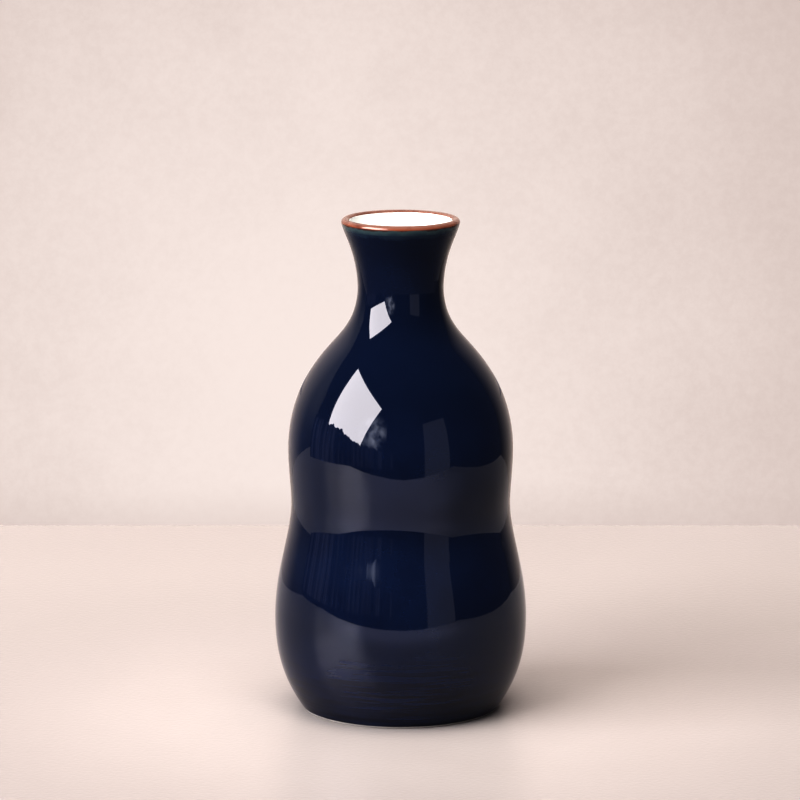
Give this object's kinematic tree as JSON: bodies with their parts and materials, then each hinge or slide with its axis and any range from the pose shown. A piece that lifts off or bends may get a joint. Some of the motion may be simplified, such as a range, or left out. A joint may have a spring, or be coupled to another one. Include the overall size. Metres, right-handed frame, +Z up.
{
  "type": "sake bottle",
  "caption": "Gourd-shaped porcelain pouring bottle with a waisted body, narrow neck, flared rolled lip, dark blue glaze, brown rim, white lining and a bare foot ring.",
  "frame": {"origin": "centre of the foot ring's lower face, on the surface that the bottle stands on", "axes": "+Z up along the bottle's axis of revolution, from the foot to the mouth; X and Y are free, because the bottle is round"},
  "size_m": [0.079, 0.079, 0.155],
  "materials": {
    "porcelain": "satin",
    "bare_clay": "matte",
    "blue_glaze": "gloss",
    "teal_glaze": "gloss",
    "brown_glaze": "gloss",
    "clear_glaze": "gloss"
  },
  "bodies": {
    "root": {"porcelain_body": "porcelain", "foot_ring": "bare_clay", "blue_glaze_coat": "blue_glaze", "teal_glaze_line": "teal_glaze", "brown_rim_glaze": "brown_glaze", "clear_inner_glaze": "clear_glaze", "clear_base_glaze": "clear_glaze"}
  },
  "joints": []
}
